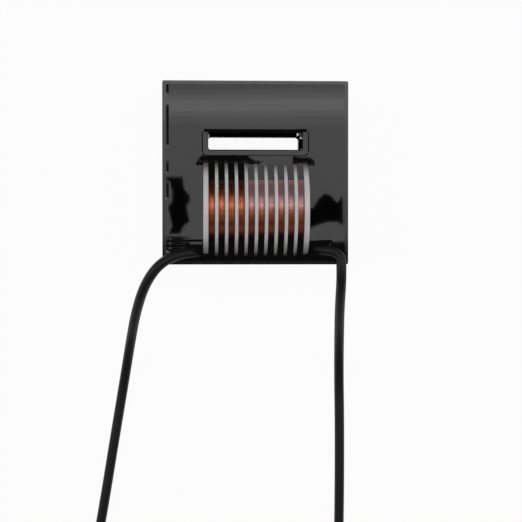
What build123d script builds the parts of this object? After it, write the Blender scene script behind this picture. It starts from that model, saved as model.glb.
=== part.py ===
"""High-voltage transformer, potted in an open case.

A sectioned secondary bobbin sits on the round leg of a closed ferrite core. Bobbin and core lie on
their backs in a square black case filled with black resin, and the front half of the bobbin stands
proud of the resin. A rectangular sleeve of the case passes through the core's window, so that a
primary can be wound through it round the core's upper leg. The two ends of the secondary leave the
resin at the lower corners as high-voltage silicone leads.

Frame: X along the bobbin, Y towards the sleeve, Z out of the open side of the case. The origin is
the middle of the case's back face.
"""

import os
from math import cos, pi, radians, sin, tan

from build123d import *

# Bobbin and winding
section_count = 10
section_width = 2.15
flange_thickness = 1.0
end_flange_thickness = 1.6
flange_diameter = 32.0
winding_set_down = 1.8
bobbin_tube_wall = 1.2
bobbin_edge_chamfer = 0.2
crossover_notch_width = 1.2
crossover_notch_angle = 20.0
winding_leg_clearance = 0.2

# Core: two halves that meet on the middle plane, with a film in each joint
leg_diameter = 10.6
yoke_width = 9.5
upper_leg_height = 10.5
core_chamfer = 0.8
gap_film_thickness = 0.2

# Case and the sleeve through the core's window
case_wall = 1.1
case_floor = 1.2
case_corner_radius = 0.6
case_inner_radius = 0.8
case_base_chamfer = 0.4
sleeve_opening_height = 5.4
sleeve_wall = 1.7
sleeve_step = 0.2
sleeve_corner_radius = 0.8
sleeve_outer_radius = 1.0
sleeve_mouth_radius = 0.5
mouth_wall_share = 0.9

# Spaces round the parts, which the resin fills
bobbin_floor_gap = 0.3
bobbin_wall_gap = 0.5
bobbin_end_gap = 1.35
sleeve_bobbin_gap = 1.75
sleeve_side_gap = 1.3
sleeve_core_gap = 1.25
core_side_gap = 1.2
core_top_gap = 2.2
resin_cover = 0.5
rim_step = 0.1

# Surface of the resin: two troughs above the bobbin and a mound on the start of each lead
trough_depth = 2.0
trough_width = 4.4
left_trough_span_shares = (-0.54, -0.01)
right_trough_span_shares = (0.37, 0.54)
left_mound_length = 11.6
left_mound_diameter = 5.2
left_mound_shift = 2.0
right_mound_length = 14.0
right_mound_diameter = 5.6
right_mound_shift = 2.4
mound_cover = 0.35

# Leads, soldered to the first and the last section through a notch in each end flange
lead_diameter = 3.3
tip_diameter = 1.0
tip_length = 7.0
joint_diameter = 1.0
joint_reach = 1.4
joint_clearance = 0.1
left_joint_angle = 157.4
right_joint_angle = 156.5
lead_end_gap = 0.5

# Every cut runs this far past the face that it opens
overrun = 2.0

# Routes of the leads, from the solder joint over the rim to the surface that the case lies on
left_route = [
    (-17.35, -25.65, 23.2),
    (-23.6, -25.9, 24.4),
    (-30.6, -28.9, 26.1),
    (-35.6, -35.8, 24.3),
    (-38.9, -45.5, 17.0),
    (-41.2, -56.5, 7.0),
    (-43.5, -69.5, 1.7),
    (-46.6, -88.0, 1.7),
    (-51.4, -117.5, 1.7),
    (-56.6, -146.0, 1.7),
]
right_route = [
    (17.35, -25.55, 23.4),
    (27.5, -23.8, 25.0),
    (27.65, -33.9, 26.0),
    (27.75, -43.6, 18.8),
    (28.6, -54.5, 8.6),
    (29.2, -67.5, 1.9),
    (29.5, -85.0, 1.7),
    (29.4, -117.0, 1.7),
    (28.8, -148.5, 1.7),
]
bend_share = 0.45

# Sizes that follow
bobbin_length = (
    section_count * section_width
    + (section_count - 1) * flange_thickness
    + 2 * end_flange_thickness
)
section_pitch = section_width + flange_thickness
core_depth = leg_diameter
flange_radius = flange_diameter / 2
winding_radius = flange_radius - winding_set_down
bore_radius = leg_diameter / 2 + winding_leg_clearance
tube_radius = bore_radius + bobbin_tube_wall
window_width = bobbin_length + 2 * bobbin_end_gap
core_width = window_width + 2 * yoke_width
inner_width = core_width + 2 * core_side_gap
case_width = inner_width + 2 * case_wall
sleeve_opening_width = window_width - 2 * (sleeve_side_gap + sleeve_wall)
sleeve_width = sleeve_opening_width + 2 * sleeve_wall
sleeve_height = sleeve_opening_height + 2 * sleeve_wall
inner_height = (
    bobbin_wall_gap
    + flange_diameter
    + sleeve_bobbin_gap
    + sleeve_height
    + sleeve_core_gap
    + upper_leg_height
    + core_top_gap
)
case_height = inner_height + 2 * case_wall
axis_y = -inner_height / 2 + bobbin_wall_gap + flange_radius
axis_z = case_floor + bobbin_floor_gap + flange_radius
sleeve_y = axis_y + flange_radius + sleeve_bobbin_gap + sleeve_height / 2
upper_leg_y = sleeve_y + sleeve_height / 2 + sleeve_core_gap + upper_leg_height / 2
resin_level = axis_z + core_depth / 2 + resin_cover
case_depth = resin_level + rim_step
sleeve_top = case_depth - sleeve_step
lead_radius = lead_diameter / 2
joint_circle = winding_radius + joint_clearance + joint_diameter / 2


def section_start(index):
    """X of the left face of a winding section, counted from zero at the left."""
    return -bobbin_length / 2 + end_flange_thickness + index * section_pitch


def on_axis(shape):
    """Move a shape made about the X axis to the bobbin's axis."""
    return Pos(0, axis_y, axis_z) * shape


def joint_place(angle):
    """Y and Z of a lead joint that lies at an angle round the bobbin's axis, from +Y over +Z."""
    turn = radians(angle)
    return axis_y + joint_circle * cos(turn), axis_z + joint_circle * sin(turn)


def make_case():
    """Open tray with the window sleeve moulded into its floor."""
    tray = extrude(RectangleRounded(case_width, case_height, case_corner_radius), case_depth)
    tray = chamfer(tray.edges().group_by(Axis.Z)[0], case_base_chamfer)
    hollow = extrude(RectangleRounded(inner_width, inner_height, case_inner_radius), case_depth)
    sleeve = extrude(RectangleRounded(sleeve_width, sleeve_height, sleeve_outer_radius), sleeve_top)
    opening = RectangleRounded(sleeve_opening_width, sleeve_opening_height, sleeve_corner_radius)
    bore = Pos(0, 0, -overrun) * extrude(opening, case_depth + 2 * overrun)
    case = tray - Pos(0, 0, case_floor) * hollow
    case = case + Pos(0, sleeve_y, 0) * sleeve
    case = case - Pos(0, sleeve_y, 0) * bore
    mouth = [
        edge
        for edge in case.edges()
        if abs(edge.center().Z - sleeve_top) < sleeve_step / 2
        and abs(edge.center().Y - sleeve_y) < (sleeve_opening_height + sleeve_wall) / 2
        and abs(edge.center().X) < (sleeve_opening_width + sleeve_wall) / 2
    ]
    return fillet(mouth, min(sleeve_mouth_radius, sleeve_wall * mouth_wall_share))


def make_bobbin():
    """Moulded bobbin: a tube with a flange between every two sections, notched for the wire."""
    left = -bobbin_length / 2
    edge = bobbin_edge_chamfer
    outline = [(left, bore_radius), (left, flange_radius - edge), (left + edge, flange_radius)]
    for index in range(section_count):
        start = section_start(index)
        outline += [(start, flange_radius), (start, tube_radius)]
        outline += [(start + section_width, tube_radius), (start + section_width, flange_radius)]
    outline += [(-left - edge, flange_radius), (-left, flange_radius - edge), (-left, bore_radius)]
    bobbin = revolve(make_face(Polyline(*outline, close=True)), Axis.X)
    for index in range(section_count - 1):
        place = section_start(index) + section_width + flange_thickness / 2
        angle = crossover_notch_angle if index % 2 else -crossover_notch_angle
        bobbin = bobbin - crossover_notch(place, angle)
    bobbin = bobbin - end_notch(-1, left_joint_angle) - end_notch(1, right_joint_angle)
    return on_axis(bobbin)


def crossover_notch(place, angle):
    """Cut in an inner flange, on the side that lies deep in the resin, for the crossover wire."""
    depth = flange_radius - winding_radius + overrun
    cut = Box(flange_thickness, crossover_notch_width, depth)
    return Rot(angle, 0, 0) * Pos(place, 0, -winding_radius - depth / 2) * cut


def end_notch(side, angle):
    """Cut in an end flange for the joint between a lead and the winding."""
    depth = flange_radius - winding_radius + overrun
    cut = Box(end_flange_thickness, joint_diameter + 2 * joint_clearance, depth)
    place = side * (bobbin_length - end_flange_thickness) / 2
    return Rot(angle - 90, 0, 0) * Pos(place, 0, winding_radius + depth / 2) * cut


def make_winding(index):
    """One section of the secondary: a ring of fine wire that fills its groove."""
    start = section_start(index)
    middle_x = start + section_width / 2
    middle_radius = (tube_radius + winding_radius) / 2
    section = Pos(middle_x, middle_radius, 0) * Rectangle(section_width, winding_radius - tube_radius)
    return on_axis(revolve(section, Axis.X))


def make_core_half():
    """Right half of the core: yoke with a round foot, half of the upper leg, half of the round leg."""
    yoke_x = (window_width + yoke_width) / 2
    yoke_height = upper_leg_y + upper_leg_height / 2 - axis_y
    reach = core_width / 2 - gap_film_thickness / 2
    yoke = Pos(yoke_x, axis_y + yoke_height / 2, axis_z) * Box(yoke_width, yoke_height, core_depth)
    foot = Pos(yoke_x, axis_y, axis_z) * Rot(0, 90, 0) * Cylinder(leg_diameter / 2, yoke_width)
    upper = Pos(core_width / 2 - reach / 2, upper_leg_y, axis_z) * Box(reach, upper_leg_height, core_depth)
    leg_length = reach - yoke_width
    leg_x = gap_film_thickness / 2 + leg_length / 2
    leg = Pos(leg_x, axis_y, axis_z) * Rot(0, 90, 0) * Cylinder(leg_diameter / 2, leg_length)
    half = yoke + foot + upper + leg
    corner = half.edges().filter_by(Axis.Z).group_by(Axis.X)[-1]
    return chamfer(corner, core_chamfer)


def make_gap_films():
    """Films that set the air gap: a square one in the upper leg, a round one in the round leg."""
    upper = Pos(0, upper_leg_y, axis_z) * Box(gap_film_thickness, upper_leg_height, core_depth)
    lower = Rot(0, 90, 0) * Cylinder(leg_diameter / 2, gap_film_thickness)
    return upper, on_axis(lower)


def cap_radius(half_width, depth):
    """Radius of the round surface that sinks so far over half its width."""
    return (half_width**2 + depth**2) / (2 * depth)


def make_mound(side, angle, length, diameter, shift):
    """Rounded ridge of resin that buries the joint and the first stretch of a lead."""
    joint_y, joint_z = joint_place(angle)
    ridge = Rot(0, 90, 0) * Cylinder(diameter / 2, length - diameter)
    for end in (-1, 1):
        ridge = ridge + Pos(end * (length - diameter) / 2, 0, 0) * Sphere(diameter / 2)
    middle_z = joint_z + lead_radius + mound_cover - diameter / 2
    return Pos(side * (bobbin_length / 2 + shift), joint_y, middle_z) * ridge


def make_trough(span_shares):
    """Trough between the window sleeve and the bobbin, over shares of the bobbin's length."""
    radius = cap_radius(trough_width / 2, trough_depth)
    start, end = (share * bobbin_length for share in span_shares)
    middle_y = axis_y + flange_radius + sleeve_bobbin_gap / 2
    trough = Rot(0, 90, 0) * Cylinder(radius, end - start)
    return Pos((start + end) / 2, middle_y, resin_level - trough_depth + radius) * trough


def make_resin(cut_by):
    """Resin that fills the case round everything in it, with its hollows and its mounds."""
    footprint = RectangleRounded(inner_width, inner_height, case_inner_radius)
    pool = Pos(0, 0, case_floor) * extrude(footprint, resin_level - case_floor)
    pool = pool - make_trough(left_trough_span_shares) - make_trough(right_trough_span_shares)
    mounds = make_mound(-1, left_joint_angle, left_mound_length, left_mound_diameter, left_mound_shift)
    mounds = mounds + make_mound(
        1, right_joint_angle, right_mound_length, right_mound_diameter, right_mound_shift
    )
    space = Pos(0, 0, case_floor) * extrude(footprint, case_depth + flange_diameter)
    resin = pool + (mounds & space)
    for shape in cut_by:
        resin = resin - shape
    return resin


def make_sleeve_block():
    """Outside of the window sleeve, which the resin lies against."""
    block = extrude(RectangleRounded(sleeve_width, sleeve_height, sleeve_outer_radius), case_depth + overrun)
    return Pos(0, sleeve_y, 0) * block


def make_bore_plug():
    """The bobbin's bore, which the resin does not enter."""
    return on_axis(Rot(0, 90, 0) * Cylinder(bore_radius, bobbin_length))


def make_joint(side, angle, lead):
    """Soldered end of a lead's conductor, which passes the end flange and lies on the winding."""
    length = lead_end_gap + end_flange_thickness + joint_reach
    middle = bobbin_length / 2 + lead_end_gap - length / 2
    joint_y, joint_z = joint_place(angle)
    joint = Rot(0, 90, 0) * Cylinder(joint_diameter / 2, length)
    return Pos(side * middle, joint_y, joint_z) * joint - lead


def bend_radii(points):
    """Radius of each bend of a route: as large as the two runs at the bend allow."""
    radii = []
    for before, here, after in zip(points, points[1:], points[2:]):
        run_in = here - before
        run_out = after - here
        half_turn = radians(run_in.get_angle(run_out)) / 2
        radii.append(bend_share * min(run_in.length, run_out.length) / tan(half_turn))
    return radii


def make_lead(name, route):
    """Insulated lead along its route. Prints its bends and compares its volume with its length."""
    points = [Vector(*place) for place in route]
    radii = bend_radii(points)
    path = FilletPolyline(*points, radius=radii)
    section = Plane(points[0], z_dir=points[1] - points[0]) * Circle(lead_radius)
    lead = sweep(section, path)
    print(name, "bend radii in mm:", ", ".join(f"{radius:.1f}" for radius in radii))
    filled = lead.volume / (path.length * pi * lead_radius**2)
    print(name, f"length {path.length:.1f} mm, volume {filled:.3f} of section times length")
    return lead


def make_tip(route):
    """Bare tinned end of the conductor, in line with the lead's last run."""
    end = Vector(*route[-1])
    run = end - Vector(*route[-2])
    return extrude(Plane(end, z_dir=run) * Circle(tip_diameter / 2), tip_length)


def main():
    """Make every piece and write each to a file of its own."""
    pieces = {"case": make_case(), "bobbin": make_bobbin()}
    for index in range(section_count):
        pieces[f"winding_section_{index + 1:02d}"] = make_winding(index)
    pieces["core_half_right"] = make_core_half()
    pieces["core_half_left"] = mirror(pieces["core_half_right"], Plane.YZ)
    pieces["gap_film_upper"], pieces["gap_film_lower"] = make_gap_films()
    pieces["left_lead"] = make_lead("left lead", left_route)
    pieces["right_lead"] = make_lead("right lead", right_route)
    pieces["left_lead_joint"] = make_joint(-1, left_joint_angle, pieces["left_lead"])
    pieces["right_lead_joint"] = make_joint(1, right_joint_angle, pieces["right_lead"])
    potted = [shape for name, shape in pieces.items() if name != "case"]
    pieces["potting_resin"] = make_resin(potted + [make_sleeve_block(), make_bore_plug()])
    pieces["left_lead_tip"] = make_tip(left_route)
    pieces["right_lead_tip"] = make_tip(right_route)
    os.makedirs("parts", exist_ok=True)
    for name, shape in pieces.items():
        export_step(shape, f"parts/{name}.step")


main()
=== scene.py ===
"""Looks of the high-voltage transformer: potted case, copper sections on a pale bobbin, silicone leads."""

import logging
import math
import random
from dataclasses import dataclass
from enum import Enum

import bmesh
import bpy
import numpy as np
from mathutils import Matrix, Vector


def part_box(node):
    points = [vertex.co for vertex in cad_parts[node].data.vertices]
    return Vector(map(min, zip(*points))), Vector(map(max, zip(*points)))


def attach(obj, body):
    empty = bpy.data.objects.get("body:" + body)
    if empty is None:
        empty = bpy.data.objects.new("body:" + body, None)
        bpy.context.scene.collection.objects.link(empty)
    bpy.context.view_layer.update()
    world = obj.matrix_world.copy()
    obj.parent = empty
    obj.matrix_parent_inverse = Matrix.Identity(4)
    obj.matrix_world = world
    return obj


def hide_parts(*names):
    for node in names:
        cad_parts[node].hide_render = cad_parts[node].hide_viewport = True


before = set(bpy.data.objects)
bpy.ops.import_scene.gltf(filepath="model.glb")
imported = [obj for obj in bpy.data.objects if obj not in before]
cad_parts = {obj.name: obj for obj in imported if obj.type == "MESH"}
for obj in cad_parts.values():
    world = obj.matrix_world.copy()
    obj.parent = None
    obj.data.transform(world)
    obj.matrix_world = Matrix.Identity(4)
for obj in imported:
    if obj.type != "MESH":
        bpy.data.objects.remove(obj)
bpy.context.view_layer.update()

BODY = "root"
MM = 0.001
BOBBIN_AXIS_Y = sum(corner[1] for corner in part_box("bobbin")) / 2 / MM
# Height of the resin's level skin in millimetres, which repeats the CAD source.
RESIN_LEVEL = 23.3
# The painted shade on the flanges is centred this far above the bobbin's axis, in millimetres.
FLANGE_SHADE_SHIFT = 0.8
BEVEL_SEGMENTS = 3
BEVEL_FROM_DEGREES = 40

log = logging.getLogger("transformer")


class Slot(str, Enum):
    """The record's material slots of the pieces that are made here."""

    RESIN = "potting_resin"
    WINDING = "winding_copper"
    LEAD = "lead_silicone"
    TIP = "tinned_copper"


def linear(hex_colour: str) -> tuple[float, float, float, float]:
    """Turn an sRGB hex colour into linear RGBA.

    Args:
        hex_colour: six hex digits, such as "C9BDB8".

    Returns:
        Linear red, green and blue, with an alpha of one.
    """
    channels = [int(hex_colour[start : start + 2], 16) / 255 for start in (0, 2, 4)]
    curve = [c / 12.92 if c <= 0.04045 else ((c + 0.055) / 1.055) ** 2.4 for c in channels]
    return curve[0], curve[1], curve[2], 1.0


def per_mm(size_mm: float) -> float:
    """Texture scale of a pattern whose features are so many millimetres across."""
    return 1.0 / (size_mm * MM)


def add_node(
    tree: bpy.types.NodeTree,
    kind: str,
    settings: dict[str | int, object] | None = None,
    links: dict[str | int, bpy.types.NodeSocket] | None = None,
    **properties: object,
) -> bpy.types.Node:
    """Add one node with its socket values, incoming links and own properties.

    Args:
        tree: node tree that gets the node.
        kind: Blender's node type.
        settings: socket name or index to constant value.
        links: socket name or index to the output that feeds it.
        properties: attributes of the node itself.

    Returns:
        The new node.
    """
    node = tree.nodes.new(kind)
    for name, value in properties.items():
        setattr(node, name, value)
    for socket, value in (settings or {}).items():
        node.inputs[socket].default_value = value
    for socket, source in (links or {}).items():
        tree.links.new(source, node.inputs[socket])
    return node


def new_material(name: str) -> tuple[bpy.types.Material, bpy.types.NodeTree, bpy.types.NodeSocket]:
    """Make an empty node material.

    Args:
        name: name of the real material and process.

    Returns:
        The material, its cleared tree and the surface socket of its output.
    """
    material = bpy.data.materials.new(name)
    material.use_nodes = True
    tree = material.node_tree
    tree.nodes.clear()
    output = add_node(tree, "ShaderNodeOutputMaterial")
    return material, tree, output.inputs["Surface"]


@dataclass(frozen=True)
class Mottle:
    """Two tones and two roughnesses of one finish, mixed by a noise of a real size, and its bump."""

    dark: str
    light: str
    size_mm: float
    rough_low: float
    rough_high: float
    bump_mm: float = 0.0
    bump_size_mm: float = 1.0
    bump_detail: float = 3.0
    detail: float = 4.0
    fine_share: float = 0.55

    def mix(
        self, tree: bpy.types.NodeTree, place: bpy.types.NodeSocket
    ) -> tuple[bpy.types.NodeSocket, bpy.types.NodeSocket]:
        """Mix the tones and the roughnesses by the same noise.

        Args:
            tree: tree of the material.
            place: place on the piece.

        Returns:
            The colour and the roughness.
        """
        grain = add_node(
            tree,
            "ShaderNodeTexNoise",
            {"Scale": per_mm(self.size_mm), "Detail": self.detail, "Roughness": self.fine_share},
            {"Vector": place},
        ).outputs["Fac"]
        colour = add_node(
            tree,
            "ShaderNodeMix",
            {6: linear(self.dark), 7: linear(self.light)},
            {0: grain},
            data_type="RGBA",
        ).outputs[2]
        rough = add_node(
            tree,
            "ShaderNodeMapRange",
            {"To Min": self.rough_low, "To Max": self.rough_high},
            {"Value": grain},
        ).outputs["Result"]
        return colour, rough


@dataclass(frozen=True)
class PaintedShade:
    """Painted shade: a dark tone that grows with the distance from an axis along X, where a round surface
    turns away from the light.
    """

    colour: str
    axis_y_mm: float
    span_mm: tuple[float, float]


def paint_shade(
    tree: bpy.types.NodeTree, place: bpy.types.NodeSocket, colour: bpy.types.NodeSocket, foot: PaintedShade
) -> bpy.types.NodeSocket:
    """Paint shade into a colour, darker away from the axis.

    Args:
        tree: tree of the material.
        place: place on the piece.
        colour: colour before the painted shade.
        foot: the painted shade.

    Returns:
        The darkened colour.
    """
    axes = add_node(tree, "ShaderNodeSeparateXYZ", links={"Vector": place}).outputs
    off_axis = add_node(
        tree, "ShaderNodeMath", {1: foot.axis_y_mm * MM}, {0: axes["Y"]}, operation="SUBTRACT"
    ).outputs["Value"]
    off_axis = add_node(
        tree, "ShaderNodeMath", links={0: off_axis}, operation="ABSOLUTE"
    ).outputs["Value"]
    share = add_node(
        tree,
        "ShaderNodeMapRange",
        {"From Min": foot.span_mm[0] * MM, "From Max": foot.span_mm[1] * MM},
        {"Value": off_axis},
        interpolation_type="SMOOTHSTEP",
    ).outputs["Result"]
    return add_node(
        tree,
        "ShaderNodeMix",
        {7: linear(foot.colour)},
        {0: share, 6: colour},
        data_type="RGBA",
    ).outputs[2]


@dataclass(frozen=True)
class DielectricFinish:
    """A plastic, resin or rubber: mottled base colour under a dielectric gloss."""

    name: str
    mottle: Mottle
    ior: float
    subsurface: float = 0.0
    subsurface_mm: float = 1.0
    foot: PaintedShade | None = None

    def build(self) -> bpy.types.Material:
        """Make the node material.

        Returns:
            The finished material.
        """
        material, tree, surface = new_material(self.name)
        place = add_node(tree, "ShaderNodeTexCoord").outputs["Object"]
        tone = self.mottle
        colour, rough = tone.mix(tree, place)
        # Painted shade, where the finish has one.
        if self.foot:
            colour = paint_shade(tree, place, colour, self.foot)
        shader = add_node(
            tree,
            "ShaderNodeBsdfPrincipled",
            {
                "IOR": self.ior,
                "Subsurface Weight": self.subsurface,
                "Subsurface Scale": self.subsurface_mm * MM,
            },
            {"Base Color": colour, "Roughness": rough},
        )
        if tone.bump_mm:
            skin = add_node(
                tree,
                "ShaderNodeTexNoise",
                {"Scale": per_mm(tone.bump_size_mm), "Detail": tone.bump_detail},
                {"Vector": place},
            ).outputs["Fac"]
            bump = add_node(
                tree,
                "ShaderNodeBump",
                {"Distance": tone.bump_mm * MM, "Strength": 1.0},
                {"Height": skin},
            ).outputs["Normal"]
            tree.links.new(bump, shader.inputs["Normal"])
        tree.links.new(shader.outputs["BSDF"], surface)
        return material


@dataclass(frozen=True)
class EnamelledCopper:
    """Fine copper wire, drawn, enamelled and close wound: a warm metal under a thin clear coat.

    Painted shade darkens the winding towards its top and bottom, and a pale pinkish painted reflection lies
    on the side towards +Y of the sections at the right.
    """

    name: str = "enamelled copper wire, close wound"
    dark: str = "843A1E"
    light: str = "BC6640"
    # Painted shade: the winding darkens towards its top and bottom, where it turns away from the light.
    foot: PaintedShade = PaintedShade("1E0C06", BOBBIN_AXIS_Y, (5.0, 9.8))
    # Painted reflection: a pale pinkish haze over the side towards +Y of the right-hand sections, with less
    # metal there.
    painted_reflection: str = "B68A8E"
    painted_reflection_x_mm: tuple[float, float] = (-4.2, -1.8)
    painted_reflection_y_mm: tuple[float, float] = (-14.8, -7.5)
    painted_reflection_metallic: float = 0.45
    # Real turns are too fine to show, so the tone changes over a coarser one.
    turn_mm: float = 0.22
    turn_detail: float = 1.0
    drift_mm: float = 3.0
    drift_detail: float = 3.0
    tone_span: tuple[float, float] = (0.1, 0.42)
    roughness: float = 0.27
    coat: float = 0.45
    coat_roughness: float = 0.1

    def build(self) -> bpy.types.Material:
        """Make the node material: the tone changes from turn to turn and slowly along each turn.

        Returns:
            The finished material.
        """
        material, tree, surface = new_material(self.name)
        place = add_node(tree, "ShaderNodeTexCoord").outputs["Object"]
        axes = add_node(tree, "ShaderNodeSeparateXYZ", links={"Vector": place}).outputs
        turn = add_node(
            tree,
            "ShaderNodeTexNoise",
            {"Scale": per_mm(self.turn_mm), "Detail": self.turn_detail},
            {"W": axes["X"]},
            noise_dimensions="1D",
        ).outputs["Fac"]
        drift = add_node(
            tree,
            "ShaderNodeTexNoise",
            {"Scale": per_mm(self.drift_mm), "Detail": self.drift_detail},
            {"Vector": place},
        ).outputs["Fac"]
        both = add_node(
            tree, "ShaderNodeMath", links={0: turn, 1: drift}, operation="MULTIPLY"
        ).outputs["Value"]
        tone = add_node(
            tree,
            "ShaderNodeMapRange",
            {"From Min": self.tone_span[0], "From Max": self.tone_span[1]},
            {"Value": both},
        ).outputs["Result"]
        colour = add_node(
            tree,
            "ShaderNodeMix",
            {6: linear(self.dark), 7: linear(self.light)},
            {0: tone},
            data_type="RGBA",
        ).outputs[2]
        spread = [
            add_node(
                tree,
                "ShaderNodeMapRange",
                {"From Min": span[0] * MM, "From Max": span[1] * MM},
                {"Value": axes[axis]},
                interpolation_type="SMOOTHSTEP",
            ).outputs["Result"]
            for axis, span in (("X", self.painted_reflection_x_mm), ("Y", self.painted_reflection_y_mm))
        ]
        # Painted shade towards the top and bottom of the winding.
        colour = paint_shade(tree, place, colour, self.foot)
        # Share of the painted reflection: the pale tint and less metal.
        film = add_node(
            tree, "ShaderNodeMath", links={0: spread[0], 1: spread[1]}, operation="MULTIPLY"
        ).outputs["Value"]
        colour = add_node(
            tree,
            "ShaderNodeMix",
            {7: linear(self.painted_reflection)},
            {0: film, 6: colour},
            data_type="RGBA",
        ).outputs[2]
        metallic = add_node(
            tree,
            "ShaderNodeMapRange",
            {"To Min": 1.0, "To Max": self.painted_reflection_metallic},
            {"Value": film},
        ).outputs["Result"]
        shader = add_node(
            tree,
            "ShaderNodeBsdfPrincipled",
            {
                "Roughness": self.roughness,
                "Coat Weight": self.coat,
                "Coat Roughness": self.coat_roughness,
            },
            {"Base Color": colour, "Metallic": metallic},
        )
        tree.links.new(shader.outputs["BSDF"], surface)
        return material


@dataclass(frozen=True)
class MetalFinish:
    """A bare metal with a mottled tone."""

    name: str
    mottle: Mottle

    def build(self) -> bpy.types.Material:
        """Make the node material.

        Returns:
            The finished material.
        """
        material, tree, surface = new_material(self.name)
        place = add_node(tree, "ShaderNodeTexCoord").outputs["Object"]
        colour, rough = self.mottle.mix(tree, place)
        shader = add_node(
            tree,
            "ShaderNodeBsdfPrincipled",
            {"Metallic": 1.0},
            {"Base Color": colour, "Roughness": rough},
        )
        tree.links.new(shader.outputs["BSDF"], surface)
        return material


# Moulded ABS: near black with a high moulded gloss.
CASE_ABS = DielectricFinish(
    "black ABS, injection moulded",
    Mottle("141416", "1A1A1C", size_mm=2.0, rough_low=0.06, rough_high=0.1),
    ior=1.57,
)
# Cast epoxy: black and glass smooth, so that it mirrors the studio.
CAST_EPOXY = DielectricFinish(
    "black epoxy resin, cast",
    Mottle("040405", "080809", size_mm=6.0, rough_low=0.02, rough_high=0.03),
    ior=1.56,
)
# Natural PBT: milky white and satin from the mould, with painted shade that darkens the flanges towards their
# upper and lower ends.
BOBBIN_PBT = DielectricFinish(
    "natural PBT, injection moulded",
    Mottle(
        "E2DFDF", "F0EEEE", size_mm=3.0, rough_low=0.32, rough_high=0.45, bump_mm=0.006, bump_size_mm=0.5
    ),
    ior=1.57,
    subsurface=0.4,
    subsurface_mm=2.0,
    # Painted shade: the flanges darken towards their upper and lower ends, where their rims turn away from
    # the light.
    foot=PaintedShade("222222", BOBBIN_AXIS_Y + FLANGE_SHADE_SHIFT, (8.8, 16.4)),
)
# Extruded silicone rubber: near black and dull, with a soft broad highlight.
LEAD_SILICONE = DielectricFinish(
    "black silicone rubber, extruded",
    Mottle(
        "0C0C0D", "121213", size_mm=1.5, rough_low=0.42, rough_high=0.55, bump_mm=0.01, bump_size_mm=0.35
    ),
    ior=1.41,
)
# Sintered ferrite: dull charcoal ceramic.
CORE_FERRITE = DielectricFinish(
    "ferrite, pressed and sintered",
    Mottle(
        "1C1C1E", "2A2A2C", size_mm=0.6, rough_low=0.6, rough_high=0.75, bump_mm=0.02, bump_size_mm=0.3
    ),
    ior=1.9,
)
# Polyester film: amber with a half gloss, seen only when taken apart.
GAP_FILM = DielectricFinish(
    "polyester film, cast",
    Mottle("B89A4A", "C8AC5E", size_mm=4.0, rough_low=0.2, rough_high=0.3),
    ior=1.6,
)
# Enamelled copper: warm, bright along one band, and finely streaked from turn to turn.
WINDING_COPPER = EnamelledCopper()
# Tinned strands: bright grey metal, a little dull from the bath.
TINNED_STRANDS = MetalFinish(
    "copper strands, tinned",
    Mottle(
        "A9A59E", "D2CEC6", size_mm=0.8, rough_low=0.22, rough_high=0.38, detail=2.0, fine_share=0.5
    ),
)
# Soft solder: grey, half bright.
SOFT_SOLDER = MetalFinish(
    "soft solder, set",
    Mottle("8E8D8C", "B4B3B1", size_mm=0.5, rough_low=0.3, rough_high=0.45, detail=2.0, fine_share=0.5),
)


def dress(piece: bpy.types.Object, finish: bpy.types.Material) -> None:
    """Give a piece its only material.

    Args:
        piece: mesh or curve object.
        finish: material that it takes.
    """
    piece.data.materials.clear()
    piece.data.materials.append(finish)


def soften_edges(piece: bpy.types.Object, width_mm: float, rim_only: bool = False) -> None:
    """Break the sharp edges of a CAD node, as moulding does.

    Args:
        piece: CAD node.
        width_mm: width of the rounding.
        rim_only: round only the outer edge of the highest face.
    """
    bevel = piece.modifiers.new("edge rounding", "BEVEL")
    bevel.width = width_mm * MM
    bevel.segments = BEVEL_SEGMENTS
    bevel.angle_limit = math.radians(BEVEL_FROM_DEGREES)
    if not rim_only:
        return
    bevel.limit_method = "WEIGHT"
    mesh = piece.data
    places = [piece.matrix_world @ vert.co for vert in mesh.vertices]
    low, high = (Vector(corner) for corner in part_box(piece.name))
    slack = width_mm * MM
    outer = [
        place.z > high.z - slack
        and min(place.x - low.x, high.x - place.x, place.y - low.y, high.y - place.y) < slack / 2
        for place in places
    ]
    weights = mesh.attributes.new("bevel_weight_edge", "FLOAT", "EDGE")
    for edge, weight in zip(mesh.edges, weights.data):
        weight.value = float(all(outer[index] for index in edge.vertices))


def new_object(name: str, data: bpy.types.ID) -> bpy.types.Object:
    """Link new data to the scene under a name.

    Args:
        name: name of the piece.
        data: mesh, curve, light or camera data.

    Returns:
        The linked object.
    """
    piece = bpy.data.objects.new(name, data)
    bpy.context.scene.collection.objects.link(piece)
    return piece


def closed_piece(bm: bmesh.types.BMesh, name: str, crease_degrees: float = 180.0) -> bpy.types.Object:
    """Turn a closed shape into a smooth-shaded piece.

    Args:
        bm: closed shape, which is freed.
        name: name of the piece.
        crease_degrees: edges that bend at least this much stay sharp.

    Returns:
        The linked piece.
    """
    bmesh.ops.recalc_face_normals(bm, faces=bm.faces[:])
    for face in bm.faces:
        face.smooth = True
    for edge in bm.edges:
        edge.smooth = edge.calc_face_angle(math.pi) < math.radians(crease_degrees)
    mesh = bpy.data.meshes.new(name)
    bm.to_mesh(mesh)
    bm.free()
    return new_object(name, mesh)


def new_tube(name: str, roundness: int) -> bpy.types.Curve:
    """Make an empty round curve, whose thickness is the radius of its points.

    Args:
        name: name of the curve.
        roundness: bevel resolution of its section.

    Returns:
        The curve's data.
    """
    data = bpy.data.curves.new(name, "CURVE")
    data.dimensions = "3D"
    data.bevel_depth = 1.0
    data.bevel_resolution = roundness
    data.use_fill_caps = True
    return data


def smooth_step(low: float, high: float, value: np.ndarray) -> np.ndarray:
    """Zero below low, one above high, and a smooth ramp between."""
    ramp = np.clip((value - low) / (high - low), 0.0, 1.0)
    return ramp * ramp * (3.0 - 2.0 * ramp)


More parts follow.
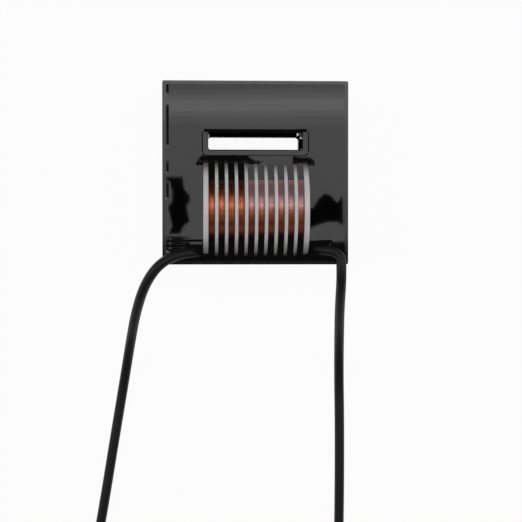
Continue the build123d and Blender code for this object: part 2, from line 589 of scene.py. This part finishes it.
@dataclass(frozen=True)
class Ridge:
    """A hipped ridge of resin over the start of a lead, with its crest along X. Millimetres."""

    span_x: tuple[float, float]
    foot_y: float
    top: float
    end_run: float = 2.2

    def feet_x(self) -> list[float]:
        """Where the two hipped ends meet the level resin."""
        return [self.span_x[0] - self.end_run, self.span_x[1] + self.end_run]

    def share(self, x: np.ndarray, y: np.ndarray, crest_y: float, wall_y: float) -> np.ndarray:
        """Share of the ridge's height, one on its crest.

        Args:
            x: places along the bobbin.
            y: places across it.
            crest_y: where the crest runs.
            wall_y: where the lower flank ends.

        Returns:
            Shares, negative off the ridge.
        """
        along = np.maximum(self.span_x[0] - x, x - self.span_x[1]) / self.end_run
        across = np.maximum((y - crest_y) / (self.foot_y - crest_y), (crest_y - y) / (crest_y - wall_y))
        return 1.0 - np.maximum(np.maximum(along, across), 0.0)


@dataclass
class PottingResin:
    """Cast resin: a level pool that sinks above the bobbin, climbs between its flanges and buries the joints.

    Sizes and places are in millimetres. The level and the sleeve's outside repeat the CAD source.
    """

    step: float = 0.3
    wall_bite: float = 0.3
    crease_degrees: float = 20.0
    # Level skin with a faint swell.
    level: float = RESIN_LEVEL
    swell: float = 0.004
    swell_lengths: tuple[float, float, float] = (6.1, 5.2, 17.0)
    swell_phase: float = 0.6
    # Outside of the sleeve, and the line that the resin draws round it.
    sleeve_half: float = 16.9
    sleeve_y: tuple[float, float] = (5.75, 14.55)
    sleeve_round: float = 1.0
    sleeve_bite: float = 0.5
    sleeve_groove: float = 0.3
    groove_reach: float = 0.4
    # Film that covers the sleeve's upper lip.
    lip_cover: float = 1.55
    lip_start: float = 0.3
    film_slope: float = 0.085
    # Broken line beside the left wall: its dashes change in length down the wall.
    wall_groove: float = 0.12
    wall_groove_place: float = 0.4
    wall_groove_half: float = 0.35
    dash_length: float = 1.9
    dash_drift: float = 2.0
    dash_drift_length: float = 4.3
    # Climb between the flanges, from its foot to its rim.
    climb_slope: float = 0.88
    upper_climb_y: tuple[float, float] = (2.9, -2.7)
    lower_climb_y: tuple[float, float] = (-26.9, -21.3)
    climb_inset: float = 0.5
    # Hollows above the bobbin: their ragged upper edges, from left to right.
    hollow_slope: float = 0.35
    hollow_tail_y: float = 2.4
    hidden_y: tuple[float, float] = (-12.0, -4.0)
    ragged: float = 0.12
    ragged_rates: tuple[float, float] = (2.3, 0.9)
    ragged_phase: float = 1.0
    left_hollow: tuple[tuple[float, float], ...] = (
        (-19.4, 2.4),
        (-18.6, 3.6),
        (-17.6, 5.2),
        (-16.3, 5.85),
        (-3.2, 5.8),
        (-1.6, 4.7),
        (0.0, 3.7),
        (2.8, 3.3),
        (3.4, -4.0),
    )
    right_hollow: tuple[tuple[float, float], ...] = (
        (11.9, -4.0),
        (12.2, 4.9),
        (12.9, 5.5),
        (14.0, 4.8),
        (16.6, 5.0),
        (17.8, 4.8),
        (18.7, 3.9),
        (19.2, 2.4),
    )
    # Ridges over the starts of the leads.
    ridge_crest_y: float = -25.5
    left_ridge: Ridge = Ridge(span_x=(-20.6, -15.6), foot_y=-23.1, top=25.5)
    right_ridge: Ridge = Ridge(span_x=(16.9, 22.6), foot_y=-21.9, top=25.7)
    # Flow marks beside the left lead, which fade in over these spans.
    ripple: float = 0.0075
    ripple_length: float = 1.5
    ripple_start_y: float = -22.0
    ripple_bow: float = 0.12
    ripple_bow_length: float = 2.1
    ripple_x: tuple[float, float] = (-17.0, -18.6)
    ripple_y: tuple[float, float] = (-20.7, -21.5)
    # A rise that stays below every other part of the skin.
    off: float = -9.0

    def __post_init__(self) -> None:
        """Read the places of the neighbours from the frame."""
        low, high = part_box("potting_resin")
        self.low = [value / MM for value in low]
        self.high = [value / MM for value in high]
        self.bobbin_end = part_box("bobbin")[1][0] / MM

    def lines(self, stops: list[float]) -> np.ndarray:
        """Grid lines through every stop, about one step apart.

        Args:
            stops: places that need a line, in order.

        Returns:
            All lines, in order.
        """
        spans = []
        for start, end in zip(stops, stops[1:]):
            count = max(1, round((end - start) / self.step))
            spans.append(np.linspace(start, end, count, endpoint=False))
        return np.concatenate(spans + [np.array([stops[-1]])])

    def height(self, x: np.ndarray, y: np.ndarray) -> np.ndarray:
        """Height of the resin's skin.

        Args:
            x: places along the bobbin.
            y: places across it.

        Returns:
            Heights above the case's back.
        """
        long_x, long_y, skew = self.swell_lengths
        waves = np.sin(x / long_x + self.swell_phase) + np.sin(y / long_y + x / skew)
        skin = self.level + self.swell * waves
        skin = skin - self.wall_line(x, y) - self.sleeve_line(x, y) - self.lip_film(x, y)
        skin = skin - self.hollows(x, y) + self.ripples(x, y)
        return np.maximum(skin, self.level + np.maximum(self.climbs(x, y), self.ridges(x, y)))

    def ripples(self, x: np.ndarray, y: np.ndarray) -> np.ndarray:
        """Rise of the flow marks that the pour left round the left lead.

        Args:
            x: places along the bobbin.
            y: places across it.

        Returns:
            Rises over the level skin.
        """
        near = smooth_step(*self.ripple_x, x) * smooth_step(*self.ripple_y, y)
        bow = self.ripple_bow * np.sin((x - self.low[0]) / self.ripple_bow_length)
        return self.ripple * near * np.sin(2.0 * np.pi * (y - self.ripple_start_y + bow) / self.ripple_length)

    def wall_line(self, x: np.ndarray, y: np.ndarray) -> np.ndarray:
        """Depth of the broken line along which the resin has drawn away from the left wall.

        Args:
            x: places along the bobbin.
            y: places across it.

        Returns:
            Depths.
        """
        drift = self.dash_drift * np.sin(y / self.dash_drift_length)
        broken = np.sin(y / self.dash_length + drift) > 0.0
        away = (x - self.low[0] - self.wall_groove_place) / self.wall_groove_half
        return self.wall_groove * broken * np.exp(-(away**2))

    def sleeve_line(self, x: np.ndarray, y: np.ndarray) -> np.ndarray:
        """Depth of the line round the sleeve, except at its upper lip, which the resin covers.

        Args:
            x: places along the bobbin.
            y: places across it.

        Returns:
            Depths.
        """
        half_y = (self.sleeve_y[1] - self.sleeve_y[0]) / 2
        over_x = np.abs(x) - self.sleeve_half + self.sleeve_round
        over_y = np.abs(y - self.sleeve_y[0] - half_y) - half_y + self.sleeve_round
        corner = np.hypot(np.maximum(over_x, 0.0), np.maximum(over_y, 0.0))
        away = corner + np.minimum(np.maximum(over_x, over_y), 0.0) - self.sleeve_round
        below_lip = y < self.sleeve_y[1] - self.lip_cover - self.step
        return self.sleeve_groove * below_lip * (1.0 - smooth_step(0.0, self.groove_reach, away))

    def lip_film(self, x: np.ndarray, y: np.ndarray) -> np.ndarray:
        """Depth by which the film on the sleeve's upper lip slopes down to the opening."""
        on_lip = (np.abs(x) < self.sleeve_half) & (y > self.sleeve_y[1] - self.lip_cover - self.step)
        return self.film_slope * np.maximum(self.sleeve_y[1] - self.lip_start - y, 0.0) * on_lip

    def climbs(self, x: np.ndarray, y: np.ndarray) -> np.ndarray:
        """Rise of the resin between the flanges, above and below the winding.

        Args:
            x: places along the bobbin.
            y: places across it.

        Returns:
            Rises over the level.
        """
        foot, rim = self.upper_climb_y
        upper = np.where((y > rim) & (y <= foot), foot - y, self.off)
        foot, rim = self.lower_climb_y
        lower = np.where((y < rim) & (y >= foot), y - foot, self.off)
        inside = np.abs(x) < self.bobbin_end - self.climb_inset
        return np.where(inside, self.climb_slope * np.maximum(upper, lower), self.climb_slope * self.off)

    def ridges(self, x: np.ndarray, y: np.ndarray) -> np.ndarray:
        """Rise of the two ridges over the starts of the leads. The right one stops at the bobbin.

        Args:
            x: places along the bobbin.
            y: places across it.

        Returns:
            Rises over the level.
        """
        rise = np.full_like(x, self.off)
        for ridge in (self.left_ridge, self.right_ridge):
            share = ridge.share(x, y, self.ridge_crest_y, self.low[1])
            rise = np.maximum(rise, (ridge.top - self.level) * share)
        return np.where((x > 0.0) & (x < self.bobbin_end - self.climb_inset), self.off, rise)

    def hollows(self, x: np.ndarray, y: np.ndarray) -> np.ndarray:
        """Depth by which the skin falls from the sleeve towards the bobbin.

        Args:
            x: places along the bobbin.
            y: places across it.

        Returns:
            Depths.
        """
        depth = np.zeros_like(x)
        fast, slow = self.ragged_rates
        ragged = self.ragged * np.sin(fast * x) * np.sin(slow * x + self.ragged_phase)
        for edge in (self.left_hollow, self.right_hollow):
            ends, places = zip(*edge)
            edge_y = np.interp(x, ends, places) + ragged
            inside = (x > ends[0]) & (x < ends[-1])
            depth = depth + self.hollow_slope * np.maximum(edge_y - y, 0.0) * inside
        beside = (np.abs(x) > self.bobbin_end) & (y < self.hollow_tail_y)
        return np.where(beside, 0.0, depth * smooth_step(*self.hidden_y, y))

    def build(self) -> bpy.types.Object:
        """Make the closed resin mesh.

        Returns:
            The new piece.
        """
        bite = self.sleeve_bite
        hole_x = self.sleeve_half - bite
        hole_y = (self.sleeve_y[0] + bite, self.sleeve_y[1] - self.lip_cover)
        feet_x = [*self.left_ridge.feet_x(), *self.right_ridge.feet_x()]
        walls_x = [self.low[0] - self.wall_bite, self.high[0] + self.wall_bite]
        xs = self.lines(sorted([*walls_x, -hole_x, hole_x, *feet_x]))
        feet_y = [self.left_ridge.foot_y, self.right_ridge.foot_y]
        creases = [self.lower_climb_y[0], self.ridge_crest_y, *feet_y, self.upper_climb_y[0]]
        ys = self.lines([self.low[1] - self.wall_bite, *creases, *hole_y, self.high[1] + self.wall_bite])
        grid_x, grid_y = np.meshgrid(xs, ys, indexing="ij")
        grid_z = self.height(grid_x, grid_y)
        bm = bmesh.new()
        rows = [
            [bm.verts.new((gx * MM, gy * MM, gz * MM)) for gx, gy, gz in zip(*row)]
            for row in zip(grid_x, grid_y, grid_z)
        ]
        for i in range(len(xs) - 1):
            for j in range(len(ys) - 1):
                in_x = abs((xs[i] + xs[i + 1]) / 2) < hole_x
                in_y = hole_y[0] < (ys[j] + ys[j + 1]) / 2 < hole_y[1]
                if not (in_x and in_y):
                    bm.faces.new((rows[i][j], rows[i + 1][j], rows[i + 1][j + 1], rows[i][j + 1]))
        for vert in [v for v in bm.verts if not v.link_faces]:
            bm.verts.remove(vert)
        rim = [edge for edge in bm.edges if edge.is_boundary]
        skirt = bmesh.ops.extrude_edge_only(bm, edges=rim)["geom"]
        for vert in [item for item in skirt if isinstance(item, bmesh.types.BMVert)]:
            vert.co.z = self.low[2] * MM
        foot = [edge for edge in bm.edges if edge.is_boundary]
        bmesh.ops.triangle_fill(bm, edges=foot, use_beauty=True)
        piece = closed_piece(bm, "resin_pour", self.crease_degrees)
        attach(piece, BODY)
        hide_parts("potting_resin")
        dress(piece, CAST_EPOXY.build())
        return piece


@dataclass
class SecondaryWinding:
    """The ten copper sections, each with its top layer of turns. Millimetres."""

    # Real turns are too fine to show, so a section has fewer and coarser ones.
    turns: int = 10
    points_per_turn: int = 4
    segments: int = 180
    heap: float = 0.15
    loose: float = 0.02
    groove: float = 0.012
    depth: float = 1.2
    seed: int = 7

    def profile(self, width: float, outer: float, dice: random.Random) -> list[tuple[float, float]]:
        """Outline of one section's top layer, from its left to its right.

        Args:
            width: width of the section.
            outer: radius of the highest turn.
            dice: seeded source of the unevenness.

        Returns:
            Places across the section with their radii.
        """
        pitch = width / self.turns
        outline = []
        for turn in range(self.turns):
            crown = 1.0 - ((turn + 0.5) / self.turns * 2.0 - 1.0) ** 2
            top = outer - self.heap * (1.0 - crown) - self.loose * dice.random()
            for point in range(self.points_per_turn):
                share = (point + 0.5) / self.points_per_turn
                outline.append(((turn + share) * pitch, top - self.groove * math.cos(math.pi * share) ** 2))
        return outline

    def build(self) -> list[bpy.types.Object]:
        """Make every section as a closed ring of turns.

        Returns:
            The new pieces.
        """
        finish = WINDING_COPPER.build()
        names = sorted(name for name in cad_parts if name.startswith("winding_section_"))
        return [self.ring(name, finish) for name in names]

    def ring(self, node: str, finish: bpy.types.Material) -> bpy.types.Object:
        """Make one section round the bobbin's axis.

        Args:
            node: CAD node that the ring stands for.
            finish: copper material.

        Returns:
            The new piece.
        """
        low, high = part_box(node)
        middle_y = (low[1] + high[1]) / 2
        middle_z = (low[2] + high[2]) / 2
        outer = (high[1] - low[1]) / 2 / MM
        dice = random.Random(f"{self.seed} {node}")
        width = (high[0] - low[0]) / MM
        outline = self.profile(width, outer, dice)
        floor_radius = outer - self.depth
        outline = [(0.0, floor_radius), (0.0, outline[0][1])] + outline
        outline += [(width, outline[-1][1]), (width, floor_radius)]
        bm = bmesh.new()
        loops = []
        for segment in range(self.segments):
            angle = 2.0 * math.pi * segment / self.segments
            loops.append(
                [
                    bm.verts.new(
                        (
                            low[0] + across * MM,
                            middle_y + radius * MM * math.cos(angle),
                            middle_z + radius * MM * math.sin(angle),
                        )
                    )
                    for across, radius in outline
                ]
            )
        for here, after in zip(loops, loops[1:] + loops[:1]):
            for k in range(len(outline)):
                n = (k + 1) % len(outline)
                bm.faces.new((here[k], here[n], after[n], after[k]))
        piece = closed_piece(bm, node.replace("winding_section", "section_wire"))
        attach(piece, BODY)
        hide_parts(node)
        dress(piece, finish)
        return piece


@dataclass
class Housing:
    """Case, bobbin, core, films and joints, which keep their CAD solids."""

    flange_edge_mm: float = 0.3
    rim_edge_mm: float = 0.6

    def build(self) -> None:
        """Dress each CAD node and round its moulded edges."""
        finishes = {
            "case": CASE_ABS,
            "bobbin": BOBBIN_PBT,
            "core_half": CORE_FERRITE,
            "gap_film": GAP_FILM,
            "left_lead_joint": SOFT_SOLDER,
            "right_lead_joint": SOFT_SOLDER,
        }
        built = {key: finish.build() for key, finish in finishes.items()}
        for name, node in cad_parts.items():
            for key, finish in built.items():
                if name.startswith(key):
                    dress(node, finish)
                    log.info("dressed %s", name)
        soften_edges(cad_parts["bobbin"], self.flange_edge_mm)
        soften_edges(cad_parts["case"], self.rim_edge_mm, rim_only=True)


@dataclass
class Lead:
    """A silicone lead along its route, with a twisted and tinned end.

    Millimetres. The route, the diameter and the bare length repeat the CAD source.
    """

    side: str
    route: list[tuple[float, float, float]]
    diameter: float = 3.3
    roundness: int = 7
    route_steps: int = 16
    bare_length: float = 7.0
    strand_count: int = 6
    strand_turns: float = 1.5
    strand_steps: int = 24
    strand_roundness: int = 3
    strands_across: int = 3

    def build(self, finish: bpy.types.Material, tinned: bpy.types.Material) -> None:
        """Args:
            finish: silicone material.
            tinned: metal of the bare strands.
        """
        name = f"{self.side}_silicone_lead"
        data = new_tube(name, self.roundness)
        spline = data.splines.new("NURBS")
        spline.points.add(len(self.route) - 1)
        for point, place in zip(spline.points, self.route):
            point.co = (place[0] * MM, place[1] * MM, place[2] * MM, 1.0)
            point.radius = self.diameter / 2 * MM
        spline.order_u = 3
        spline.use_endpoint_u = True
        spline.resolution_u = self.route_steps
        piece = new_object(name, data)
        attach(piece, BODY)
        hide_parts(f"{self.side}_lead")
        dress(piece, finish)
        strands = self.strands(tinned)

    def strands(self, finish: bpy.types.Material) -> bpy.types.Object:
        """Make the bare end as a twist of strands round one in the middle.

        Args:
            finish: metal of the strands.

        Returns:
            The new piece.
        """
        node = f"{self.side}_lead_tip"
        end = Vector(self.route[-1]) * MM
        out = (Vector(self.route[-1]) - Vector(self.route[-2])).normalized()
        side_way = out.cross(Vector((0.0, 0.0, 1.0))).normalized()
        up = side_way.cross(out)
        low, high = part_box(node)
        tip_radius = (high[2] - low[2]) / 2
        reach = self.bare_length * MM
        strand_radius = tip_radius / self.strands_across
        name = f"{self.side}_bare_strands"
        data = new_tube(name, self.strand_roundness)
        for strand in range(self.strand_count + 1):
            offset = 0.0 if strand == self.strand_count else 2.0 * strand_radius
            start_angle = 2.0 * math.pi * strand / self.strand_count
            spline = data.splines.new("POLY")
            spline.points.add(self.strand_steps)
            for step, point in enumerate(spline.points):
                share = step / self.strand_steps
                angle = start_angle + 2.0 * math.pi * self.strand_turns * share
                place = end + out * reach * share
                place = place + side_way * offset * math.cos(angle) + up * offset * math.sin(angle)
                point.co = (*place, 1.0)
                point.radius = strand_radius
        piece = new_object(name, data)
        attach(piece, BODY)
        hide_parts(node)
        dress(piece, finish)
        return piece


# Control points of the leads, in millimetres, which repeat the CAD source.
LEFT_ROUTE = [
    (-17.35, -25.65, 23.2),
    (-23.6, -25.9, 24.4),
    (-30.6, -28.9, 26.1),
    (-35.6, -35.8, 24.3),
    (-38.9, -45.5, 17.0),
    (-41.2, -56.5, 7.0),
    (-43.5, -69.5, 1.7),
    (-46.6, -88.0, 1.7),
    (-51.4, -117.5, 1.7),
    (-56.6, -146.0, 1.7),
]
RIGHT_ROUTE = [
    (17.35, -25.55, 23.4),
    (27.5, -23.8, 25.0),
    (27.65, -33.9, 26.0),
    (27.75, -43.6, 18.8),
    (28.6, -54.5, 8.6),
    (29.2, -67.5, 1.9),
    (29.5, -85.0, 1.7),
    (29.4, -117.0, 1.7),
    (28.8, -148.5, 1.7),
]


@dataclass(frozen=True)
class Lamp:
    """A soft rectangular lamp: place, aim and size in millimetres, and power in watts."""

    name: str
    place: tuple[float, float, float]
    aim: tuple[float, float, float]
    size: tuple[float, float]
    power: float

    def build(self) -> None:
        """Hang the lamp and turn it to its aim."""
        data = bpy.data.lights.new(self.name, "AREA")
        data.shape = "RECTANGLE"
        data.size = self.size[0] * MM
        data.size_y = self.size[1] * MM
        data.energy = self.power
        lamp = new_object(self.name, data)
        lamp.location = Vector(self.place) * MM
        way = Vector(self.aim) - Vector(self.place)
        lamp.rotation_euler = way.to_track_quat("-Z", "Y").to_euler()


@dataclass(frozen=True)
class Flag:
    """A black card out of the camera's sight, which shows only in gloss. Millimetres."""

    name: str
    corners: tuple[tuple[float, float, float], ...]
    felt: str = "050505"

    def build(self) -> None:
        """Hang the card."""
        mesh = bpy.data.meshes.new(self.name)
        places = [tuple(value * MM for value in corner) for corner in self.corners]
        mesh.from_pydata(places, [], [range(len(places))])
        # Black felt: swallows the light, so that the resin mirrors a dark patch.
        material, tree, surface = new_material("black felt, cut")
        felt = add_node(tree, "ShaderNodeBsdfDiffuse", {"Color": linear(self.felt)})
        tree.links.new(felt.outputs["BSDF"], surface)
        mesh.materials.append(material)
        card = new_object(self.name, mesh)
        card.visible_camera = False
        card.visible_shadow = False
        card.visible_diffuse = False


@dataclass
class Studio:
    """White floor, soft lamps, black cards and the camera above. Millimetres."""

    floor_half: float = 1500.0
    floor_drop: float = 0.1
    paper: str = "F4F4F4"
    white: str = "FFFFFF"
    seen_share: float = 0.95
    world_grey: float = 0.05
    world_seen: float = 0.98
    camera_place: tuple[float, float, float] = (-17.9, -21.8, 463.4)
    tilt_degrees: tuple[float, float] = (-0.87, -2.56)
    focal: float = 94.1
    sensor: float = 36.0
    clip_start: float = 10.0
    flag_height: float = 600.0
    lamps: tuple[Lamp, ...] = (
        Lamp("overhead softbox", (25, 189, 640), (25, 189, 0), (420, 422), 0.68),
        Lamp("band strip, core", (30, 81, 620), (30, 81, 0), (300, 8), 0.003),
        Lamp("band strip, soft", (30, 81, 621), (30, 81, 0), (300, 16), 0.005),
        Lamp("band strip, wide", (30, 80, 622), (30, 80, 0), (300, 26), 0.006),
        Lamp("copper strip", (90, 130, 635), (90, 130, 0), (290, 50), 0.13),
        Lamp("lower card, near", (25, -110, 640), (25, -110, 0), (420, 80), 0.095),
        Lamp("lower card, middle", (25, -240, 600), (25, -240, 0), (420, 180), 0.085),
        Lamp("lower card, far", (25, -574, 454), (0, -12, 25), (420, 272), 0.11),
        Lamp("right card", (54, 520, 120), (54, 0, 120), (80, 160), 0.034),
        Lamp("left key", (-480, 60, 400), (0, -10, 25), (320, 320), 0.9),
        Lamp("right key", (520, 60, 420), (0, -10, 25), (320, 320), 0.9),
    )
    # Outlines of the dark patches that the level resin mirrors on each side of the bobbin.
    left_shade: tuple[tuple[float, float], ...] = (
        (-28.9, -1.3),
        (-23.2, -1.3),
        (-22.5, -5.2),
        (-20.9, -6.8),
        (-20.6, -8.6),
        (-21.8, -10.4),
        (-20.9, -15.7),
        (-22.8, -17.1),
        (-24.0, -19.9),
        (-27.9, -20.1),
        (-26.6, -17.3),
        (-27.9, -10.8),
        (-26.4, -8.8),
        (-26.6, -4.8),
    )
    right_shade: tuple[tuple[float, float], ...] = (
        (14.0, -11.0),
        (18.8, -11.6),
        (20.6, -8.6),
        (22.4, -7.0),
        (24.2, -7.6),
        (26.2, -10.0),
        (27.9, -7.8),
        (28.3, -17.1),
        (26.6, -15.9),
        (23.0, -15.9),
        (19.8, -16.9),
        (14.0, -19.5),
    )
    # Painted shade: a black card under the slot, seen only in gloss, stands in for the floor's shade beneath
    # the case.
    slot_flag: Flag = Flag(
        "slot flag", ((-15, 7.6, 0.3), (15, 7.6, 0.3), (15, 12.7, 0.3), (-15, 12.7, 0.3))
    )

    def build(self) -> None:
        """Lay the floor, hang the lamps and the cards, and set the world and the camera."""
        self.floor()
        for lamp in self.lamps:
            lamp.build()
        self.slot_flag.build()
        Flag("left arm flag", self.mirrored(self.left_shade)).build()
        Flag("right arm flag", self.mirrored(self.right_shade)).build()
        self.world()
        self.camera()

    def mirrored(self, shade: tuple[tuple[float, float], ...]) -> tuple[tuple[float, float, float], ...]:
        """Corners of a card whose image in the level resin has a given outline.

        Args:
            shade: outline on the resin.

        Returns:
            Corners at the height of the flags.
        """
        eye_x, eye_y, eye_z = self.camera_place
        reach = (self.flag_height - RESIN_LEVEL) / (eye_z - RESIN_LEVEL)
        return tuple(
            (x + (x - eye_x) * reach, y + (y - eye_y) * reach, self.flag_height) for x, y in shade
        )

    def floor(self) -> None:
        """Lay a white floor that reads as white to the camera and in gloss, and still takes the shadow."""
        half = self.floor_half * MM
        mesh = bpy.data.meshes.new("paper_floor")
        corners = [(-half, -half), (half, -half), (half, half), (-half, half)]
        mesh.from_pydata([(x, y, -self.floor_drop * MM) for x, y in corners], [], [(0, 1, 2, 3)])
        floor = new_object("paper_floor", mesh)
        # Matt white paper: plain white to the eye, with a faint shadow under the object.
        material, tree, surface = new_material("white paper, matt")
        rays = add_node(tree, "ShaderNodeLightPath").outputs
        seen = rays["Is Camera Ray"]
        for kind in ("Is Transmission Ray", "Is Glossy Ray"):
            seen = add_node(
                tree, "ShaderNodeMath", links={0: seen, 1: rays[kind]}, operation="MAXIMUM"
            ).outputs["Value"]
        share = add_node(
            tree, "ShaderNodeMath", {1: self.seen_share}, {0: seen}, operation="MULTIPLY"
        ).outputs["Value"]
        lit = add_node(tree, "ShaderNodeBsdfDiffuse", {"Color": linear(self.paper)}).outputs["BSDF"]
        glow = add_node(
            tree, "ShaderNodeEmission", {"Color": linear(self.white), "Strength": 1.0}
        ).outputs["Emission"]
        mix = add_node(tree, "ShaderNodeMixShader", links={0: share, 1: lit, 2: glow}).outputs["Shader"]
        tree.links.new(mix, surface)
        mesh.materials.append(material)

    def world(self) -> None:
        """Fill the dim studio with a little grey, and show it as white to the camera."""
        world = bpy.data.worlds.new("dim studio")
        world.use_nodes = True
        tree = world.node_tree
        tree.nodes.clear()
        output = add_node(tree, "ShaderNodeOutputWorld")
        rays = add_node(tree, "ShaderNodeLightPath").outputs
        seen = add_node(
            tree,
            "ShaderNodeMath",
            links={0: rays["Is Camera Ray"], 1: rays["Is Transmission Ray"]},
            operation="MAXIMUM",
        ).outputs["Value"]
        strength = add_node(
            tree,
            "ShaderNodeMapRange",
            {"To Min": self.world_grey, "To Max": self.world_seen},
            {"Value": seen},
        ).outputs["Result"]
        fill = add_node(
            tree, "ShaderNodeBackground", {"Color": linear(self.white)}, {"Strength": strength}
        )
        tree.links.new(fill.outputs["Background"], output.inputs["Surface"])
        bpy.context.scene.world = world

    def camera(self) -> None:
        """Look down at the case, almost straight."""
        data = bpy.data.cameras.new("camera")
        data.lens = self.focal
        data.sensor_width = self.sensor
        data.clip_start = self.clip_start * MM
        camera = new_object("camera", data)
        camera.location = Vector(self.camera_place) * MM
        camera.rotation_euler = (*(math.radians(angle) for angle in self.tilt_degrees), 0.0)
        bpy.context.scene.camera = camera


def main() -> None:
    """Build every sub-assembly in order."""
    logging.basicConfig(level=logging.INFO)
    bpy.context.scene.view_settings.view_transform = "Standard"
    Housing().build()
    resin = PottingResin().build()
    log.info("poured %s: %d faces", resin.name, len(resin.data.polygons))
    for ring in SecondaryWinding().build():
        log.info("wound %s: %d faces", ring.name, len(ring.data.polygons))
    silicone = LEAD_SILICONE.build()
    tinned = TINNED_STRANDS.build()
    for side, route in (("left", LEFT_ROUTE), ("right", RIGHT_ROUTE)):
        Lead(side, route).build(silicone, tinned)
        log.info("laid the %s lead", side)
    Studio().build()


if __name__ == "__main__":
    main()
